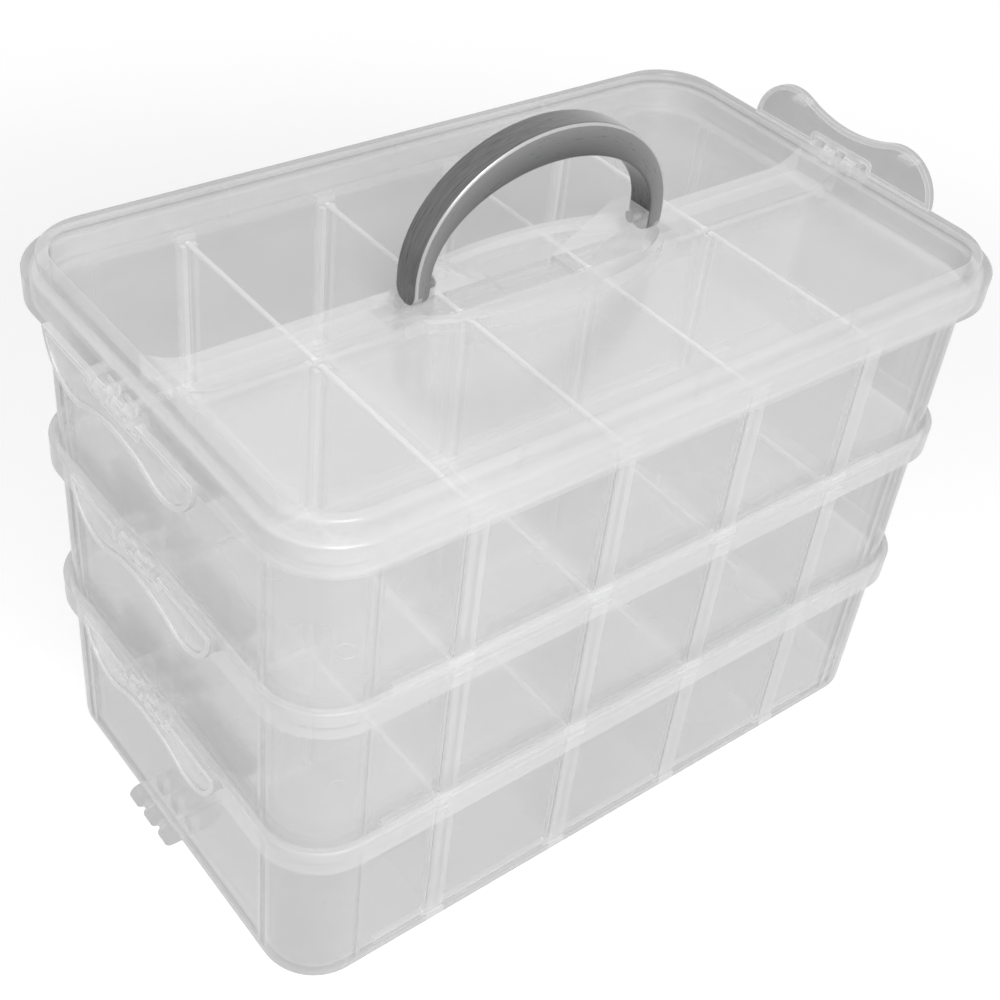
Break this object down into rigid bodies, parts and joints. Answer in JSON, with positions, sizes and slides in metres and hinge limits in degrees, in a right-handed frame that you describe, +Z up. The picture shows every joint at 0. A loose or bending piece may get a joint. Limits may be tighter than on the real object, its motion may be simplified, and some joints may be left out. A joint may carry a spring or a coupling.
{
  "type": "sewing box",
  "caption": "Clear stacking sewing box: divided trays nest on each other under a lid with a folding arched carry handle, and snap latches at both ends hold the stack.",
  "frame": {"origin": "middle of the underside of the bottom tray, on the surface the box stands on", "axes": "+X along the box, towards the lid's open latch; +Y from the front to the back; +Z up"},
  "size_m": [0.2608, 0.151, 0.2087],
  "materials": {
    "clear_plastic": "translucent moulded polypropylene, glossy with a faint haze",
    "handle_grey": "silver-grey moulded plastic with a soft sheen"
  },
  "bodies": {
    "bottom_tray": {"bottom_tray": "clear_plastic"},
    "middle_tray": {"middle_tray": "clear_plastic"},
    "top_tray": {"top_tray": "clear_plastic"},
    "lid": {"lid": "clear_plastic"},
    "handle": {"handle": "handle_grey"},
    "middle_latch_left": {"middle_latch_left": "clear_plastic"},
    "middle_latch_right": {"middle_latch_right": "clear_plastic"},
    "top_latch_left": {"top_latch_left": "clear_plastic"},
    "top_latch_right": {"top_latch_right": "clear_plastic"},
    "lid_latch_left": {"lid_latch_left": "clear_plastic"},
    "lid_latch_right": {"lid_latch_right": "clear_plastic"},
    "bottom_divider_front_1": {"bottom_divider_front_1": "clear_plastic"},
    "bottom_divider_front_2": {"bottom_divider_front_2": "clear_plastic"},
    "bottom_divider_front_3": {"bottom_divider_front_3": "clear_plastic"},
    "bottom_divider_front_4": {"bottom_divider_front_4": "clear_plastic"},
    "bottom_divider_back_1": {"bottom_divider_back_1": "clear_plastic"},
    "bottom_divider_back_2": {"bottom_divider_back_2": "clear_plastic"},
    "bottom_divider_back_3": {"bottom_divider_back_3": "clear_plastic"},
    "bottom_divider_back_4": {"bottom_divider_back_4": "clear_plastic"},
    "middle_divider_front_1": {"middle_divider_front_1": "clear_plastic"},
    "middle_divider_front_2": {"middle_divider_front_2": "clear_plastic"},
    "middle_divider_front_3": {"middle_divider_front_3": "clear_plastic"},
    "middle_divider_front_4": {"middle_divider_front_4": "clear_plastic"},
    "middle_divider_back_1": {"middle_divider_back_1": "clear_plastic"},
    "middle_divider_back_2": {"middle_divider_back_2": "clear_plastic"},
    "middle_divider_back_3": {"middle_divider_back_3": "clear_plastic"},
    "middle_divider_back_4": {"middle_divider_back_4": "clear_plastic"},
    "top_divider_front_1": {"top_divider_front_1": "clear_plastic"},
    "top_divider_front_2": {"top_divider_front_2": "clear_plastic"},
    "top_divider_front_3": {"top_divider_front_3": "clear_plastic"},
    "top_divider_front_4": {"top_divider_front_4": "clear_plastic"},
    "top_divider_back_1": {"top_divider_back_1": "clear_plastic"},
    "top_divider_back_2": {"top_divider_back_2": "clear_plastic"},
    "top_divider_back_3": {"top_divider_back_3": "clear_plastic"},
    "top_divider_back_4": {"top_divider_back_4": "clear_plastic"}
  },
  "joints": [
    {"name": "middle_tray_lift", "type": "slide", "parent": "bottom_tray", "child": "middle_tray", "axis": [0, 0, 1], "range_m": [0, 0.12]},
    {"name": "top_tray_lift", "type": "slide", "parent": "middle_tray", "child": "top_tray", "axis": [0, 0, 1], "range_m": [0, 0.12]},
    {"name": "lid_lift", "type": "slide", "parent": "top_tray", "child": "lid", "axis": [0, 0, 1], "range_m": [0, 0.12]},
    {"name": "handle_fold", "type": "hinge", "parent": "lid", "child": "handle", "pos_m": [0, 0, 0.1707], "axis": [1, 0, 0], "range_deg": [-90, 90]},
    {"name": "middle_latch_left_swing", "type": "hinge", "parent": "middle_tray", "child": "middle_latch_left", "pos_m": [-0.1228, 0, 0.064], "axis": [0, 1, 0], "range_deg": [0, 180]},
    {"name": "middle_latch_right_swing", "type": "hinge", "parent": "middle_tray", "child": "middle_latch_right", "pos_m": [0.1228, 0, 0.064], "axis": [0, -1, 0], "range_deg": [0, 180]},
    {"name": "top_latch_left_swing", "type": "hinge", "parent": "top_tray", "child": "top_latch_left", "pos_m": [-0.1228, 0, 0.117], "axis": [0, 1, 0], "range_deg": [0, 180]},
    {"name": "top_latch_right_swing", "type": "hinge", "parent": "top_tray", "child": "top_latch_right", "pos_m": [0.1228, 0, 0.117], "axis": [0, -1, 0], "range_deg": [0, 180]},
    {"name": "lid_latch_left_swing", "type": "hinge", "parent": "lid", "child": "lid_latch_left", "pos_m": [-0.12618, 0, 0.1663], "axis": [0, 1, 0], "range_deg": [0, 180]},
    {"name": "lid_latch_right_swing", "type": "hinge", "parent": "lid", "child": "lid_latch_right", "pos_m": [0.12618, 0, 0.1663], "axis": [0, 1, 0], "range_deg": [0, 180]},
    {"name": "bottom_divider_front_1_slide", "type": "slide", "parent": "bottom_tray", "child": "bottom_divider_front_1", "axis": [0, 0, 1], "range_m": [0, 0.06]},
    {"name": "bottom_divider_front_2_slide", "type": "slide", "parent": "bottom_tray", "child": "bottom_divider_front_2", "axis": [0, 0, 1], "range_m": [0, 0.06]},
    {"name": "bottom_divider_front_3_slide", "type": "slide", "parent": "bottom_tray", "child": "bottom_divider_front_3", "axis": [0, 0, 1], "range_m": [0, 0.06]},
    {"name": "bottom_divider_front_4_slide", "type": "slide", "parent": "bottom_tray", "child": "bottom_divider_front_4", "axis": [0, 0, 1], "range_m": [0, 0.06]},
    {"name": "bottom_divider_back_1_slide", "type": "slide", "parent": "bottom_tray", "child": "bottom_divider_back_1", "axis": [0, 0, 1], "range_m": [0, 0.06]},
    {"name": "bottom_divider_back_2_slide", "type": "slide", "parent": "bottom_tray", "child": "bottom_divider_back_2", "axis": [0, 0, 1], "range_m": [0, 0.06]},
    {"name": "bottom_divider_back_3_slide", "type": "slide", "parent": "bottom_tray", "child": "bottom_divider_back_3", "axis": [0, 0, 1], "range_m": [0, 0.06]},
    {"name": "bottom_divider_back_4_slide", "type": "slide", "parent": "bottom_tray", "child": "bottom_divider_back_4", "axis": [0, 0, 1], "range_m": [0, 0.06]},
    {"name": "middle_divider_front_1_slide", "type": "slide", "parent": "middle_tray", "child": "middle_divider_front_1", "axis": [0, 0, 1], "range_m": [0, 0.06]},
    {"name": "middle_divider_front_2_slide", "type": "slide", "parent": "middle_tray", "child": "middle_divider_front_2", "axis": [0, 0, 1], "range_m": [0, 0.06]},
    {"name": "middle_divider_front_3_slide", "type": "slide", "parent": "middle_tray", "child": "middle_divider_front_3", "axis": [0, 0, 1], "range_m": [0, 0.06]},
    {"name": "middle_divider_front_4_slide", "type": "slide", "parent": "middle_tray", "child": "middle_divider_front_4", "axis": [0, 0, 1], "range_m": [0, 0.06]},
    {"name": "middle_divider_back_1_slide", "type": "slide", "parent": "middle_tray", "child": "middle_divider_back_1", "axis": [0, 0, 1], "range_m": [0, 0.06]},
    {"name": "middle_divider_back_2_slide", "type": "slide", "parent": "middle_tray", "child": "middle_divider_back_2", "axis": [0, 0, 1], "range_m": [0, 0.06]},
    {"name": "middle_divider_back_3_slide", "type": "slide", "parent": "middle_tray", "child": "middle_divider_back_3", "axis": [0, 0, 1], "range_m": [0, 0.06]},
    {"name": "middle_divider_back_4_slide", "type": "slide", "parent": "middle_tray", "child": "middle_divider_back_4", "axis": [0, 0, 1], "range_m": [0, 0.06]},
    {"name": "top_divider_front_1_slide", "type": "slide", "parent": "top_tray", "child": "top_divider_front_1", "axis": [0, 0, 1], "range_m": [0, 0.06]},
    {"name": "top_divider_front_2_slide", "type": "slide", "parent": "top_tray", "child": "top_divider_front_2", "axis": [0, 0, 1], "range_m": [0, 0.06]},
    {"name": "top_divider_front_3_slide", "type": "slide", "parent": "top_tray", "child": "top_divider_front_3", "axis": [0, 0, 1], "range_m": [0, 0.06]},
    {"name": "top_divider_front_4_slide", "type": "slide", "parent": "top_tray", "child": "top_divider_front_4", "axis": [0, 0, 1], "range_m": [0, 0.06]},
    {"name": "top_divider_back_1_slide", "type": "slide", "parent": "top_tray", "child": "top_divider_back_1", "axis": [0, 0, 1], "range_m": [0, 0.06]},
    {"name": "top_divider_back_2_slide", "type": "slide", "parent": "top_tray", "child": "top_divider_back_2", "axis": [0, 0, 1], "range_m": [0, 0.06]},
    {"name": "top_divider_back_3_slide", "type": "slide", "parent": "top_tray", "child": "top_divider_back_3", "axis": [0, 0, 1], "range_m": [0, 0.06]},
    {"name": "top_divider_back_4_slide", "type": "slide", "parent": "top_tray", "child": "top_divider_back_4", "axis": [0, 0, 1], "range_m": [0, 0.06]}
  ],
  "couplings": [
    {"joint": "bottom_divider_front_1_slide", "follows": "middle_tray_lift", "ratio": 0.5},
    {"joint": "bottom_divider_front_2_slide", "follows": "middle_tray_lift", "ratio": 0.5},
    {"joint": "bottom_divider_front_3_slide", "follows": "middle_tray_lift", "ratio": 0.5},
    {"joint": "bottom_divider_front_4_slide", "follows": "middle_tray_lift", "ratio": 0.5},
    {"joint": "bottom_divider_back_1_slide", "follows": "middle_tray_lift", "ratio": 0.5},
    {"joint": "bottom_divider_back_2_slide", "follows": "middle_tray_lift", "ratio": 0.5},
    {"joint": "bottom_divider_back_3_slide", "follows": "middle_tray_lift", "ratio": 0.5},
    {"joint": "bottom_divider_back_4_slide", "follows": "middle_tray_lift", "ratio": 0.5},
    {"joint": "middle_divider_front_1_slide", "follows": "top_tray_lift", "ratio": 0.5},
    {"joint": "middle_divider_front_2_slide", "follows": "top_tray_lift", "ratio": 0.5},
    {"joint": "middle_divider_front_3_slide", "follows": "top_tray_lift", "ratio": 0.5},
    {"joint": "middle_divider_front_4_slide", "follows": "top_tray_lift", "ratio": 0.5},
    {"joint": "middle_divider_back_1_slide", "follows": "top_tray_lift", "ratio": 0.5},
    {"joint": "middle_divider_back_2_slide", "follows": "top_tray_lift", "ratio": 0.5},
    {"joint": "middle_divider_back_3_slide", "follows": "top_tray_lift", "ratio": 0.5},
    {"joint": "middle_divider_back_4_slide", "follows": "top_tray_lift", "ratio": 0.5},
    {"joint": "top_divider_front_1_slide", "follows": "lid_lift", "ratio": 0.5},
    {"joint": "top_divider_front_2_slide", "follows": "lid_lift", "ratio": 0.5},
    {"joint": "top_divider_front_3_slide", "follows": "lid_lift", "ratio": 0.5},
    {"joint": "top_divider_front_4_slide", "follows": "lid_lift", "ratio": 0.5},
    {"joint": "top_divider_back_1_slide", "follows": "lid_lift", "ratio": 0.5},
    {"joint": "top_divider_back_2_slide", "follows": "lid_lift", "ratio": 0.5},
    {"joint": "top_divider_back_3_slide", "follows": "lid_lift", "ratio": 0.5},
    {"joint": "top_divider_back_4_slide", "follows": "lid_lift", "ratio": 0.5}
  ]
}
